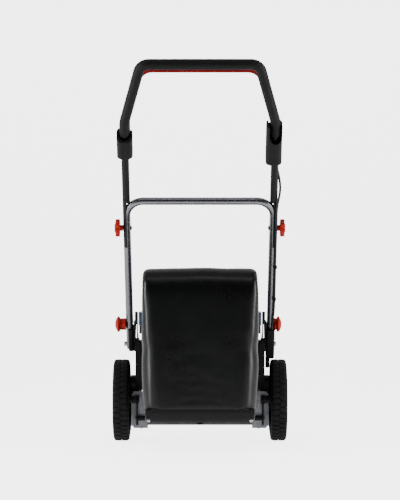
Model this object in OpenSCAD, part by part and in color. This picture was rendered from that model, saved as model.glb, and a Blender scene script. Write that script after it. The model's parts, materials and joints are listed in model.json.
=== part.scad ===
// Battery reel mower with a rear grass catcher.
// Frame: origin on the ground under the middle of the machine, +X right, +Y forward, +Z up.
// Shapes are written about the rear axle line (y = 0) and placed() moves them to the origin.

/* [Wheels] */
// Diameter of the rear wheels
wheel_d = 250; // [220:2:260]
// Tread width of a rear wheel
wheel_w = 50; // [40:1:50]
// Distance from the centre plane to the middle of a rear wheel
wheel_x = 239.5; // [239:0.5:245]
// Diameter of the stub axles of the rear wheels
axle_d = 20; // [16:1:20]
// Diameter of the front wheels
front_d = 120; // [100:2:124]
// Tread width of a front wheel
front_w = 34; // [24:1:36]
// Distance from the rear axles to the front axles
wheelbase = 285; // [275:1:295]

/* [Deck] */
// Distance from the centre plane to the outer face of a side plate
plate_x = 196.5; // [190:0.5:196.5]
// Depth of a side plate across its rim
plate_t = 10.5; // [8:0.5:12]
// Radius of the cutting circle of the reel
reel_r = 58; // [50:1:60]
// Number of reel blades
blade_count = 5; // [4:1:7]
// Twist of a blade from end to end in degrees
blade_twist = 96; // [60:4:120]
// Width of the top cover
cover_w = 382; // [360:2:384]

/* [Handle] */
// Lean of the handle from upright in degrees
lean = 37; // [30:1:42]
// Distance from the centre plane to the handle tubes
tube_x = 213; // [213:0.5:215]
// Diameter of the handle tubes
tube_d = 22; // [20:0.5:22]
// Distance along the handle from its lower pivot to the fold bolt
fold_t = 439; // [430:1:450]
// Distance along the handle from its lower pivot to the U bar
ubar_t = 535; // [525:1:545]
// Distance along the handle from its lower pivot to the grip bar
grip_t = 997; // [960:1:1010]
// Diameter of the soft grip
grip_d = 28.8; // [27:0.2:29]
// Inward slant of the grip loop in degrees
grip_slant = 14.4; // [12:0.2:16]

/* [Catcher] */
// Width of the grass catcher at its widest
bag_w = 334; // [320:1:336]
// Height of the top of the grass catcher
bag_top = 529; // [500:1:540]
// Distance from the rear axle to the back of the catcher
bag_back = 404; // [380:1:410]
// Height of the underside of the catcher tray
tray_z = 84; // [80:1:90]

/* [Hidden] */
$fn = 96;

// General
fit = 0.05;             // radial clearance of a running fit
gap = 0.3;              // space between faces that pass each other
eps = 0.5;              // overshoot of a cut

// Heights and places on the machine, in [y, z]
axle_z = wheel_d / 2;
tube_r = tube_d / 2;
grip_r = grip_d / 2;
pivot = [-30, 299];                 // lower handle pivot
reel_c = [140, 103];                // reel axis
motor_c = [58, 168];                // motor axis
arm_c = [225, 100];                 // pivot of a height arm
front_c = [wheelbase, front_d / 2]; // front wheel axis
rod_c = [-50, 268];                 // rod that the catcher hangs on
front_rod_c = [262, 215];
peg_c = [-12, 70];                  // pegs that the catcher leans on
plate_in = plate_x - plate_t;       // inner face of a side plate
rear_y = pivot[0] - grip_t * sin(lean) - grip_r;
mid_y = (wheelbase + front_d / 2 + rear_y) / 2;

// ---------- helpers ----------

module placed() {
    translate([0, -mid_y, 0]) children();
}

// Mirrors its children to the left side when s is -1
module side(s) {
    mirror([s < 0 ? 1 : 0, 0, 0]) children();
}

module both() {
    side(1) children();
    side(-1) children();
}

// A cylinder along X from x0 to x1 at p = [y, z]
module xrod(x0, x1, p, r) {
    translate([x0, p[0], p[1]]) rotate([0, 90, 0]) cylinder(h = x1 - x0, r = r);
}

// Extrudes an outline drawn in [y, z] from x0 to x1
module yz(x0, x1) {
    translate([x0, 0, 0]) rotate([90, 0, 90]) linear_extrude(x1 - x0) children();
}

// A body of revolution about the X line through p; the outline is [radius, x]
module turned(p) {
    translate([0, p[0], p[1]]) rotate([0, 90, 0]) rotate_extrude() children();
}

// A box with round vertical edges, centred in X and Y, standing on z = 0
module round_box(w, d, h, r) {
    linear_extrude(h) rounded(w, d, r);
}

module rounded(w, d, r) {
    square([w - 2 * r, d], center = true);
    square([w, d - 2 * r], center = true);
    for (i = [-1, 1], j = [-1, 1]) {
        translate([i * (w / 2 - r), j * (d / 2 - r)]) circle(r);
    }
}

// The outline that a tight belt makes round two circles
module belt_outline(a, ra, b, rb) {
    turn = atan2(b[1] - a[1], b[0] - a[0]);
    lift = acos((ra - rb) / norm(b - a));
    polygon(concat(arc(a, ra, turn + lift, turn + 360 - lift, 30),
        arc(b, rb, turn - lift, turn + lift, 24)));
}

// Points on an arc from angle a0 to a1 in n steps
function arc(c, r, a0, a1, n) =
    [for (i = [0:n]) c + r * [cos(a0 + (a1 - a0) * i / n), sin(a0 + (a1 - a0) * i / n)]];

function unit(v) = v / norm(v);
function heading(p, i) = unit(p[min(i + 1, len(p) - 1)] - p[max(i - 1, 0)]);
function ring(p, i, r, sides, across) = let (
        h = heading(p, i),
        u = unit(cross(h, across)),
        w = cross(h, u))
    [for (k = [0:sides - 1]) p[i] + r * (cos(k * 360 / sides) * u + sin(k * 360 / sides) * w)];
function walls(n, sides, first, flip) = [for (i = [0:n - 2], k = [0:sides - 1])
    let (m = (k + 1) % sides, a = first + i * sides, b = a + sides)
        each flip ? [[a + k, b + k, b + m], [a + k, b + m, a + m]]
            : [[a + k, b + m, b + k], [a + k, a + m, b + m]]];

// A round bar of radius r along the points p; across is square to the bends
module swept(p, r, sides, across) {
    n = len(p);
    points = [for (i = [0:n - 1]) each ring(p, i, r, sides, across)];
    ends = [[for (k = [sides - 1:-1:0]) k], [for (k = [0:sides - 1]) (n - 1) * sides + k]];
    polyhedron(points, concat(walls(n, sides, 0, false), ends));
}

// A round tube between the radii r0 and r1 along the points p
module swept_tube(p, r0, r1, sides, across) {
    n = len(p);
    points = [for (r = [r1, r0]) for (i = [0:n - 1]) each ring(p, i, r, sides, across)];
    inner = n * sides;
    last = (n - 1) * sides;
    ends = [for (k = [0:sides - 1]) let (m = (k + 1) % sides)
        each [[k, inner + k, inner + m, m],
            [last + k, last + m, inner + last + m, inner + last + k]]];
    polyhedron(points, concat(walls(n, sides, 0, false), walls(n, sides, inner, true), ends));
}

// Local frame of the handle: Z runs up the tubes, Y is square to them and forward
module on_handle() {
    translate([0, pivot[0], pivot[1]]) rotate([lean, 0, 0]) children();
}

// ---------- side plates and the fixed frame ----------

plate_outline = [[15, 38], [15, 150], [-58, 205], [-58, 300], [-44, 316], [-14, 316],
    [25, 300], [240, 300], [285, 235], [285, 165], [250, 92], [250, 52], [236, 38]];
plate_pocket = [[27, 50], [27, 157], [-46, 211], [-46, 294], [-38, 304], [-18, 304],
    [21, 288], [234, 288], [273, 231], [273, 168], [238, 95], [238, 50]];
flange = [[8.4, 155], [-58, 205], [-58, 298], [-56, 298], [-56, 206.2], [9.6, 156.6]];
flange_x = 171;        // inner edge of the flange along the back of a side plate
web_t = 4;             // thickness of the web of a side plate
bearing_r = 14;
shaft_r = 8;
motor_shaft_r = 4;
rod_r = 5;
bolt_r = 4;
arm_bolt_r = 5;
quadrant_t = 4;
quadrant_bolts = [[-46, 286], [-4, 286]];

module plate_holes(x0, x1) {
    xrod(x0, x1, reel_c, bearing_r);
    xrod(x0, x1, motor_c, motor_shaft_r + 2);
    xrod(x0, x1, rod_c, rod_r);
    xrod(x0, x1, front_rod_c, rod_r);
    xrod(x0, x1, arm_c, arm_bolt_r);
    xrod(x0, x1, pivot, bolt_r);
    for (p = quadrant_bolts) {
        xrod(x0, x1, p, 3);
    }
}

module side_plate(s) {
    color([0.07, 0.07, 0.08]) side(s) difference() {
        union() {
            yz(plate_in, plate_x) polygon(plate_outline);
            yz(flange_x, plate_in + 1) polygon(flange);
        }
        difference() {
            yz(plate_in - eps, plate_x - web_t) polygon(plate_pocket);
            for (b = [[reel_c, 22], [motor_c, 16], [rod_c, 12], [front_rod_c, 12],
                    [arm_c, 14], [pivot, 12]]) {
                xrod(plate_in - 1, plate_x - web_t + 1, b[0], b[1]);
            }
        }
        plate_holes(plate_in - eps, plate_x + eps);
    }
}

cross_y = [12, 15];    // rear and front faces of the cross plate
cross_z = [37, 150];
cross_x = 211;
arch_x = 160;          // half width and height of the arch in the cross plate
arch_z = 62;
flange_d = 8;          // depth of the flange along the top of the cross plate

module rear_cross_plate() {
    color([0.66, 0.67, 0.71]) difference() {
        union() {
            translate([-cross_x, cross_y[0], cross_z[0]])
                cube([2 * cross_x, cross_y[1] - cross_y[0], cross_z[1] - cross_z[0]]);
            translate([-plate_in + 1, cross_y[0], cross_z[1] - 3])
                cube([2 * plate_in - 2, flange_d, 3]);
        }
        both() for (z = [cross_z[0], cross_z[1]]) {
            translate([cross_x, cross_y[0] - eps, z]) rotate([-90, 0, 0])
                cylinder(h = 4, r = 7);
        }
        translate([-arch_x, cross_y[0] - eps, cross_z[0] - eps])
            cube([2 * arch_x, 4, arch_z - cross_z[0] + eps]);
    }
}

bracket_x = [190, 195];
bracket_foot = 48;     // lower end of a bracket

module axle_brackets() {
    color([0.1, 0.1, 0.11]) both() difference() {
        yz(bracket_x[0], bracket_x[1]) {
            translate([0, axle_z]) circle(cross_y[0] + 1);
            translate([-cross_y[0] - 1, peg_c[1]])
                square([2 * cross_y[0] + 1, axle_z - peg_c[1]]);
            translate([peg_c[0], peg_c[1]]) circle(9);
            translate([peg_c[0], bracket_foot])
                square([cross_y[0] - peg_c[0], peg_c[1] - bracket_foot + 1]);
        }
        translate([0, cross_y[0], bracket_foot - 1]) cube([200, 10, 120]);
        xrod(bracket_x[0] - eps, bracket_x[1] + eps, [0, axle_z], axle_d / 2);
        xrod(bracket_x[0] - eps, bracket_x[1] + eps, peg_c, peg_shank_r);
    }
}

collar_r = 11.5;       // collar between a wheel and its bracket
hub_x = [wheel_x - wheel_w / 2 + 1.5, wheel_x + wheel_w / 2 - 5.5];

module stub_axles() {
    color([0.16, 0.16, 0.17]) both() {
        xrod(bracket_x[0] - 3, hub_x[1] + 3, [0, axle_z], axle_d / 2);
        turned([0, axle_z]) translate([0, bracket_x[1]]) square([collar_r, 7]);
    }
}

peg_x = 168;            // inner end of a peg
peg_r = 7.5;
peg_shank_r = 4;

module catcher_pegs() {
    color([0.05, 0.05, 0.06]) both() {
        xrod(peg_x, bracket_x[0], peg_c, peg_r);
        xrod(bracket_x[0] - eps, bracket_x[1] + 3, peg_c, peg_shank_r);
    }
}

deck_z = [285, 288];

module deck_plate() {
    color([0.08, 0.08, 0.09]) union() {
        translate([-plate_in, 34, deck_z[0]]) cube([2 * plate_in, 214, deck_z[1] - deck_z[0]]);
        translate([-plate_in, 34, deck_z[0] - 22]) cube([2 * plate_in, 3, 23]);
        translate([-plate_in, 245, deck_z[0] - 22]) cube([2 * plate_in, 3, 23]);
    }
}

module hang_rod() {
    color([0.75, 0.76, 0.79]) xrod(-plate_x, plate_x, rod_c, rod_r);
}

module front_cross_rod() {
    color([0.75, 0.76, 0.79]) xrod(-plate_x, plate_x, front_rod_c, rod_r);
}

knife_x = plate_in;
knife_top = reel_c[1] - 59.5;      // upper face of the bed knife, just under the reel
knife_t = 3;

module bedknife_bar() {
    color([0.08, 0.08, 0.09]) difference() {
        union() {
            translate([-knife_x, 76, knife_top]) cube([2 * knife_x, 20, 13]);
            both() translate([knife_x - 9, 40, 33]) cube([7, 56, 33]);
        }
        knife_screws();
    }
}

module knife_screws() {
    for (x = knife_screw_x) {
        translate([x, 86, knife_top - 10]) cylinder(h = 40, r = 2.5);
    }
}

knife_screw_x = [-150, -75, 0, 75, 150];

module bedknife() {
    color([0.55, 0.56, 0.58]) difference() {
        translate([-knife_x + 9.5, 78, knife_top - knife_t])
            cube([2 * knife_x - 19, reel_c[0] - 78, knife_t]);
        knife_screws();
        translate([0, reel_c[0], knife_top - knife_t]) rotate([45, 0, 0])
            cube([2 * knife_x + 2, 2.5, 2.5], center = true);
    }
}

// ---------- motor, belt drive and covers ----------

motor_r = 36;
motor_x = [34, plate_in];
reel_pulley_r = 25.5;
motor_pulley_r = 11.2;
belt_x = [200.5, 208.5];

module motor() {
    color([0.2, 0.2, 0.22]) difference() {
        union() {
            xrod(motor_x[0], motor_x[1] - 8, motor_c, motor_r);
            xrod(motor_x[1] - 8, motor_x[1], motor_c, motor_r - 6);
            xrod(motor_x[0] - 10, motor_x[0], motor_c, 14);
        }
        xrod(motor_x[0] + 20, motor_x[1] + eps, motor_c, motor_shaft_r + fit);
        for (i = [0:5]) {
            rotate_about(motor_c, 60 * i) xrod(motor_x[0] - 1, motor_x[0] + 12,
                motor_c + [26, 0], 5);
        }
    }
}

module rotate_about(p, a) {
    translate([0, p[0], p[1]]) rotate([a, 0, 0]) translate([0, -p[0], -p[1]]) children();
}

module motor_pulley() {
    color([0.6, 0.6, 0.62]) union() {
        xrod(motor_x[0] + 22, belt_x[1] + 1.5, motor_c, motor_shaft_r);
        xrod(belt_x[0] - 0.5, belt_x[1] + 0.5, motor_c, motor_pulley_r);
        xrod(belt_x[0] - 1.5, belt_x[0] - 0.5, motor_c, motor_pulley_r + 3);
    }
}

module reel_pulley() {
    color([0.12, 0.12, 0.13]) difference() {
        union() {
            xrod(belt_x[0] - 0.5, belt_x[1] + 0.5, reel_c, reel_pulley_r);
            xrod(belt_x[0] - 1.5, belt_x[0] - 0.5, reel_c, reel_pulley_r + 3);
        }
        xrod(belt_x[0] - 3, belt_x[1] + 3, reel_c, shaft_r);
        for (i = [0:4]) {
            rotate_about(reel_c, 72 * i) xrod(belt_x[0] - 3, belt_x[1] + 3,
                reel_c + [16.5, 0], 4);
        }
    }
}

module drive_belt() {
    color([0.05, 0.05, 0.05]) yz(belt_x[0], belt_x[1]) difference() {
        belt_outline(reel_c, reel_pulley_r + 3.2, motor_c, motor_pulley_r + 3.2);
        belt_outline(reel_c, reel_pulley_r + 0.2, motor_c, motor_pulley_r + 0.2);
    }
}

case_x = 213;
case_r = [48, 30];
case_t = 2.5;

module drive_covers() {
    color([0.16, 0.16, 0.17]) both() difference() {
        yz(plate_x, case_x) belt_outline(reel_c, case_r[0], motor_c, case_r[1]);
        yz(plate_x - eps, case_x - case_t) belt_outline(
            reel_c, case_r[0] - case_t, motor_c, case_r[1] - case_t);
    }
}

cover_y = [44, 262];
cover_z = [326, 352, 392];     // bottom edge, seam and top
neck_x = 158;
cover_c = (cover_y[0] + cover_y[1]) / 2;
cover_d = cover_y[1] - cover_y[0];
wall = 3;
battery_w = 118;
battery_y = [92, 214];
hatch_w = 150;
hatch_y = [80, 224];
hinge_c = [225, 383];          // hinge pin of the hatch
hinge_r = 2.6;
hinge_x = 60;                  // half length of the hinge pin

module lower_cover() {
    color([0.06, 0.06, 0.07]) difference() {
        union() {
            translate([0, cover_c, cover_z[0]])
                round_box(cover_w - 4, cover_d, cover_z[1] - cover_z[0], 24);
            translate([0, cover_c, deck_z[1]])
                round_box(2 * neck_x, cover_d - 30, cover_z[0] - deck_z[1] + 1, 20);
        }
        translate([0, cover_c, cover_z[0] + wall]) round_box(cover_w - 4 - 2 * wall,
            cover_d - 2 * wall, cover_z[1] - cover_z[0], 24 - wall);
        translate([0, cover_c, deck_z[1] + wall]) round_box(2 * (neck_x - wall),
            cover_d - 30 - 2 * wall, cover_z[0] - deck_z[1], 20 - wall);
    }
}

// Side profile of the top cover: the roof falls towards the front
module roof_profile(inset) {
    polygon(concat(
        [[cover_y[0] + inset, cover_z[1] - (inset > 0 ? 1 : 0)]],
        arc([cover_y[0] + 26, cover_z[2] - 26], 26 - inset, 180, 90, 8),
        [[150, cover_z[2] - inset]],
        arc([cover_y[1] - 30, cover_z[2] - 38], 30 - inset, 78, 0, 8),
        [[cover_y[1] - inset, cover_z[1] - (inset > 0 ? 1 : 0)]]));
}

module roof_shape(inset) {
    intersection() {
        yz(-cover_w / 2, cover_w / 2) roof_profile(inset);
        translate([0, cover_c, cover_z[1] - 2])
            round_box(cover_w - 2 * inset, cover_d - 2 * inset, 60, 26 - inset);
    }
}

module top_cover() {
    color([0.01, 0.2, 0.32]) difference() {
        roof_shape(0);
        roof_shape(wall);
        translate([-hatch_w / 2, hatch_y[0], cover_z[1] + 4])
            cube([hatch_w, hatch_y[1] - hatch_y[0], 60]);
        xrod(-hinge_x - 2 * gap, hinge_x + 2 * gap, hinge_c, hinge_r + gap);
    }
}

module battery_hatch() {
    color([0.02, 0.25, 0.38]) union() {
        intersection() {
            difference() {
                roof_shape(0);
                roof_shape(wall);
            }
            translate([-hatch_w / 2 + 1, hatch_y[0] + 1, cover_z[1] + 10])
                cube([hatch_w - 2, hatch_y[1] - hatch_y[0] - 2, 60]);
        }
        xrod(-hinge_x, hinge_x, hinge_c, hinge_r);
    }
}

module battery() {
    color([0.1, 0.1, 0.11]) union() {
        translate([0, (battery_y[0] + battery_y[1]) / 2, deck_z[1] + wall])
            round_box(battery_w, battery_y[1] - battery_y[0], 62, 10);
        translate([0, (battery_y[0] + battery_y[1]) / 2, deck_z[1] + wall + 62])
            round_box(battery_w - 30, battery_y[1] - battery_y[0] - 40, 12, 8);
    }
}

// ---------- handle brackets and fasteners ----------

latch_t = 77;
latch_r = 4;
slot_r = 4.4;
fold_range = 80;
latch_arm_r = 12;
quadrant_x = [plate_x, plate_x + quadrant_t];

// Direction from the pivot to the latch, in degrees from +Y
latch_dir = 90 + lean;

// Plate with an arm for each end of the fold; each arm has a hole in line with the latch pin
module quadrant_outline() {
    difference() {
        union() {
            for (a = [latch_dir, latch_dir - fold_range]) {
                belt_outline(pivot, 16, pivot + latch_t * [cos(a), sin(a)], latch_arm_r);
            }
            belt_outline(quadrant_bolts[0], 10, quadrant_bolts[1], 10.01);
        }
        translate(pivot) circle(bolt_r);
        for (p = quadrant_bolts) {
            translate(p) circle(3);
        }
        for (a = [latch_dir, latch_dir - fold_range]) {
            translate(pivot + latch_t * [cos(a), sin(a)]) circle(slot_r);
        }
    }
}

module handle_quadrants() {
    color([0.08, 0.08, 0.09]) both() yz(quadrant_x[0], quadrant_x[1]) quadrant_outline();
}

// Bolt along X: shank from x0 to x1 with a round head of length hl outside x1
module bolt(x0, x1, p, r, hr, hl) {
    xrod(x0, x1, p, r);
    xrod(x1, x1 + hl, p, hr);
}

module chassis_fasteners() {
    color([0.72, 0.73, 0.76]) both() {
        bolt(plate_in, tube_x + tube_r + gap, pivot, bolt_r, 7, 7.5);
        bolt(plate_in, quadrant_x[1] + gap + 4.1, arm_c, arm_bolt_r, 9, 3);
        for (p = quadrant_bolts) {
            xrod(plate_in, quadrant_x[1], p, 3);
        }
    }
}

// ---------- reel ----------

module reel_bearings() {
    color([0.6, 0.61, 0.63]) both() difference() {
        xrod(plate_in, plate_x, reel_c, bearing_r);
        xrod(plate_in - eps, plate_x + eps, reel_c, shaft_r + fit);
    }
}

module reel_shaft() {
    color([0.5, 0.5, 0.52]) xrod(-plate_x - 2, belt_x[1] + 2, reel_c, shaft_r);
}

spider_x = [-160, -80, 0, 80, 160];
spider_r = 50;
blade_x = 172;
blade_t = 3;

module reel_spiders() {
    color([0.07, 0.07, 0.08]) for (x = spider_x) {
        difference() {
            union() {
                xrod(x - 2, x + 2, reel_c, spider_r);
                xrod(x - 6, x + 6, reel_c, 14);
            }
            xrod(x - 7, x + 7, reel_c, shaft_r);
            for (i = [0:4]) {
                rotate_about(reel_c, 72 * i) xrod(x - 3, x + 3, reel_c + [31, 0], 11);
            }
        }
    }
}

blade_steps = 28;

// One blade: a strip that winds round the reel axis, drawn about X
module blade(start) {
    points = [for (i = [0:blade_steps]) let (a = start + blade_twist * i / blade_steps)
        each [for (q = [[spider_r + 0.1, -1], [reel_r, -1], [reel_r, 1], [spider_r + 0.1, 1]])
            [-blade_x + 2 * blade_x * i / blade_steps,
                q[0] * cos(a) - q[1] * blade_t / 2 * sin(a),
                q[0] * sin(a) + q[1] * blade_t / 2 * cos(a)]]];
    ends = [[3, 2, 1, 0], [for (k = [0:3]) blade_steps * 4 + k]];
    polyhedron(points, concat(walls(blade_steps + 1, 4, 0, false), ends));
}

module reel_blades() {
    color([0.45, 0.46, 0.48]) translate([0, reel_c[0], reel_c[1]])
        for (i = [0:blade_count - 1]) {
            blade(i * 360 / blade_count);
        }
}

// ---------- height adjusters ----------

arm_x = [plate_x + 0.4, plate_x + 3.9];
front_axle_r = 6;
front_x = [239 - front_w / 2, 239 + front_w / 2];
lever_top = [203, 368];
grip_ends = [[204, 357], [199, 380]];  // lower and upper centre of a lever's grip

module height_arm(s) {
    color([0.1, 0.1, 0.11]) side(s) difference() {
        union() {
            yz(arm_x[0], arm_x[1]) {
                belt_outline(arm_c, 15, front_c, 13);
                belt_outline(arm_c, 14, lever_top, 7);
            }
            xrod(arm_x[0], front_x[1] + 0.6, front_c, front_axle_r);
            xrod(arm_x[0], front_x[0] - 0.6, front_c, 10);
            xrod(front_x[1] + 0.6, front_x[1] + 4, front_c, 9);
        }
        xrod(arm_x[0] - eps, arm_x[1] + eps, arm_c, arm_bolt_r + fit);
        xrod(arm_x[0] - eps, arm_x[1] + eps, lever_top, 2);
    }
}

module height_grip(s) {
    color([0.04, 0.04, 0.05]) side(s) difference() {
        yz(arm_x[0], arm_x[1] + 6) belt_outline(grip_ends[0], 8.5, grip_ends[1], 10);
        yz(arm_x[0] - eps, arm_x[1]) belt_outline(arm_c, 14, lever_top, 7);
    }
}

// ---------- wheels ----------

tyre_in_r = 100;
shoulder = 6;

module tyre(s) {
    color([0.09, 0.09, 0.1]) side(s) turned([0, axle_z]) difference() {
        polygon(concat(
            [[tyre_in_r, wheel_x - wheel_w / 2 + 3], [tyre_in_r + 5, wheel_x - wheel_w / 2]],
            arc([wheel_d / 2 - shoulder, wheel_x - wheel_w / 2 + shoulder], shoulder, -90, -10, 5),
            [[wheel_d / 2, wheel_x]],
            arc([wheel_d / 2 - shoulder, wheel_x + wheel_w / 2 - shoulder], shoulder, 10, 90, 5),
            [[tyre_in_r + 5, wheel_x + wheel_w / 2], [tyre_in_r, wheel_x + wheel_w / 2 - 3]]));
        translate([104, wheel_x - 17]) square([13, 34]);
    }
}

module rim(s) {
    color([0.12, 0.12, 0.13]) side(s) difference() {
        turned([0, axle_z]) {
            polygon([[axle_d / 2 + fit, hub_x[0]], [26, hub_x[0]], [24, wheel_x - 2],
                [92, wheel_x - 4], [93, wheel_x - 20], [tyre_in_r, wheel_x - 21],
                [tyre_in_r, wheel_x + 21], [93, wheel_x + 20], [92, wheel_x + 3],
                [24, wheel_x + 6], [26, hub_x[1]], [axle_d / 2 + fit, hub_x[1]]]);
        }
        for (i = [0:5]) {
            rotate_about([0, axle_z], 60 * i + 30)
                xrod(wheel_x - 30, wheel_x + 30, [60, axle_z], 20);
        }
    }
}

module hub_cap(s) {
    color([0.14, 0.14, 0.15]) side(s) turned([0, axle_z]) polygon(concat(
        [[0, hub_x[1] + 3.2], [20, hub_x[1] + 3.2], [20, hub_x[1]], [34, hub_x[1]]],
        arc([24, hub_x[1] - 2.5], 10.3, 14, 78, 6),
        [[0, hub_x[1] + 8.5]]));
}

module front_wheel(s) {
    color([0.1, 0.1, 0.11]) side(s) difference() {
        turned(front_c) polygon([[front_axle_r + fit, front_x[0]], [14, front_x[0]],
            [14, 234], [44, 232], [46, front_x[0]], [front_d / 2 - 4, front_x[0]],
            [front_d / 2, front_x[0] + 5], [front_d / 2, front_x[1] - 5],
            [front_d / 2 - 4, front_x[1]], [46, front_x[1]], [44, 246], [14, 244],
            [14, front_x[1]], [front_axle_r + fit, front_x[1]]]);
        for (i = [0:4]) {
            rotate_about(front_c, 72 * i) xrod(220, 260, front_c + [29, 0], 9);
        }
    }
}

// ---------- lower handle ----------

foot_t = -14;
ubend_r = 50;
flat_t = [377, 534];        // where the two tubes lie side by side, each half round
tube_wall = 1.6;
seat = 0.15;                // half the space between the two flats

module lower_handle_tube() {
    color([0.62, 0.63, 0.66]) on_handle() difference() {
        union() {
            both() {
                translate([tube_x, 0, foot_t]) cylinder(h = ubar_t - ubend_r - foot_t, r = tube_r);
                translate([tube_x - ubend_r, 0, ubar_t - ubend_r]) rotate([90, 0, 0])
                    rotate_extrude(angle = 90) translate([ubend_r, 0]) circle(tube_r);
            }
            translate([-tube_x + ubend_r, 0, ubar_t]) rotate([0, 90, 0])
                cylinder(h = 2 * (tube_x - ubend_r), r = tube_r);
        }
        both() {
            translate([tube_x - seat, -20, flat_t[0] - 3])
                cube([40, 40, flat_t[1] - flat_t[0] + 60]);
            translate([tube_x, 0, foot_t - 1])
                cylinder(h = flat_t[0] - 6 - foot_t, r = tube_r - tube_wall);
            xrod(tube_x - 30, tube_x + 30, [0, 0], bolt_r + fit);
            xrod(tube_x - 30, tube_x + 30, [0, latch_t], latch_r + fit);
            xrod(tube_x - 30, tube_x + 30, [0, fold_t], bolt_r);
        }
        translate([-tube_x + ubend_r, 0, ubar_t]) rotate([0, 90, 0])
            cylinder(h = 2 * (tube_x - ubend_r), r = tube_r - tube_wall);
    }
}

foot_x = [plate_x + quadrant_t + 0.4, 218];

module handle_foot_left() {
    color([0.05, 0.05, 0.06]) side(-1) on_handle() difference() {
        translate([(foot_x[0] + foot_x[1]) / 2, 0, foot_t - 4])
            round_box(foot_x[1] - foot_x[0], 30, 84, 6);
        translate([tube_x, 0, foot_t]) cylinder(h = 120, r = tube_r);
        xrod(tube_x - 30, tube_x + 30, [0, 0], bolt_r + fit);
    }
}

cover_out = [227, 213.4];   // outer faces of the wide and the narrow part
cover_t = [-84, -43, 66];   // bottom, step and top along the handle

// Box over the right foot of the handle, with a hollow beside the pull knob
module cable_cover() {
    color([0.04, 0.04, 0.05]) on_handle() difference() {
        translate([(foot_x[0] + cover_out[0]) / 2, 3, cover_t[1]])
            round_box(cover_out[0] - foot_x[0], 46, cover_t[2] - cover_t[1], 7);
        translate([tube_x, 0, foot_t]) cylinder(h = 120, r = tube_r);
        xrod(tube_x - 30, tube_x + 30, [0, 0], bolt_r + fit);
        xrod(tube_x + tube_r + 0.1, tube_x + 30, [0, latch_t], 21);
        xrod(tube_x + tube_r - 1, tube_x + 30, [0, 0], 10);
    }
}

// Narrow lower end of the box, inside the wheel
module cable_cover_end() {
    color([0.04, 0.04, 0.05]) on_handle()
        translate([(foot_x[0] + cover_out[1]) / 2, 0, cover_t[0]])
            round_box(cover_out[1] - foot_x[0], 30, cover_t[1] - cover_t[0], 5);
}

module handle_bolts() {
    color([0.3, 0.3, 0.32]) on_handle() both() {
        xrod(tube_x - tube_r - 3.5, tube_x - tube_r, [0, fold_t], 6);
        xrod(tube_x - tube_r - 1, tube_x + tube_r + 16, [0, fold_t], bolt_r);
    }
}

barrel_x = tube_x + tube_r + gap;

// A pull knob: pin, barrel and domed head; neck is the length of the barrel
module latch_knob(s, neck) {
    head = barrel_x + neck;
    color([0.82, 0.14, 0.09]) on_handle() side(s) union() {
        xrod(quadrant_x[1] + gap, barrel_x + 2, [0, latch_t], latch_r);
        translate([0, 0, latch_t]) rotate([0, 90, 0]) rotate_extrude() polygon(concat(
            [[0, barrel_x], [18, barrel_x], [19, barrel_x + 2], [18, head], [22, head + 0.5]],
            arc([20.5, head + 4.5], 3.5, -60, 50, 4),
            arc([0, head - 21.9], 36.9, 53, 90, 8)));
    }
}

knob_x = barrel_x + 9;
knob_r = 26.5;

module star_knob(s) {
    color([0.78, 0.12, 0.08]) on_handle() side(s) difference() {
        union() {
            xrod(barrel_x, knob_x + 1, [0, fold_t], 9);
            translate([knob_x, 0, fold_t]) rotate([0, 90, 0]) linear_extrude(14) difference() {
                circle(knob_r);
                for (i = [0:5]) {
                    rotate(60 * i + 30) translate([knob_r + 5, 0]) circle(10);
                }
            }
            xrod(knob_x + 13, knob_x + 16, [0, fold_t], 13);
        }
        xrod(barrel_x - eps, barrel_x + 17, [0, fold_t], bolt_r + fit);
    }
}

// ---------- upper handle ----------

join_t = 735;
bend_t = 795;
bend_r = 80;
corner_r = 30;
bend_end = [tube_x - bend_r + bend_r * cos(grip_slant), bend_t + bend_r * sin(grip_slant)];
corner_t = grip_t - corner_r;
slant_run = (corner_t + corner_r * sin(grip_slant) - bend_end[1]) / cos(grip_slant);
corner_x = bend_end[0] - slant_run * sin(grip_slant) - corner_r * cos(grip_slant);

// Centre line of the right half of the grip loop, from height t0 up to the grip bar
function half_loop(t0) = concat(
    [[tube_x, t0]],
    arc([tube_x - bend_r, bend_t], bend_r, 0, grip_slant, 4),
    arc([corner_x, corner_t], corner_r, grip_slant, 90, 9));
// The whole loop, as points in the handle's frame
function loop(half) = concat(
    [for (q = half) [q[0], 0, q[1]]],
    [for (i = [len(half) - 1:-1:0]) [-half[i][0], 0, half[i][1]]]);

module upper_tubes() {
    color([0.05, 0.05, 0.06]) on_handle() both() difference() {
        translate([tube_x, 0, flat_t[0]]) cylinder(h = join_t - flat_t[0], r = tube_r);
        translate([tube_x - 40 + seat, -20, flat_t[0] - 1])
            cube([40, 40, flat_t[1] - flat_t[0] + 1]);
        translate([tube_x, 0, flat_t[1] + 6])
            cylinder(h = join_t, r = tube_r - tube_wall);
        xrod(tube_x - 30, tube_x + 30, [0, fold_t], bolt_r + fit);
    }
}

grip_sides = 24;

module grip_tube() {
    color([0.05, 0.05, 0.06]) on_handle()
        swept_tube(loop(half_loop(join_t)), tube_r - tube_wall, tube_r, grip_sides, [0, 1, 0]);
}

soft_t = 766;

module grip_cover() {
    color([0.13, 0.13, 0.14]) on_handle()
        swept_tube(loop(half_loop(soft_t)), tube_r + seat, grip_r, grip_sides, [0, 1, 0]);
}

bail_t = 745;
bail_n = 20;
bail_x = 202;
bail_r = 5;
bail_lean = 4;
bail_len = 210;
bail_corner = 40;
bail_bend_r = bend_r - tube_x + bail_x;
bail_bend = [bail_x - bail_bend_r + bail_bend_r * cos(grip_slant),
    bend_t - bail_t + bail_bend_r * sin(grip_slant)];
bail_corner_v = bail_len - bail_corner;
bail_corner_x = bail_bend[0] - bail_corner * cos(grip_slant)
    - tan(grip_slant) * (bail_corner_v + bail_corner * sin(grip_slant) - bail_bend[1]);

pocket_r = 17.5;        // pocket in the top of a sleeve, round the end of the grip

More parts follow.
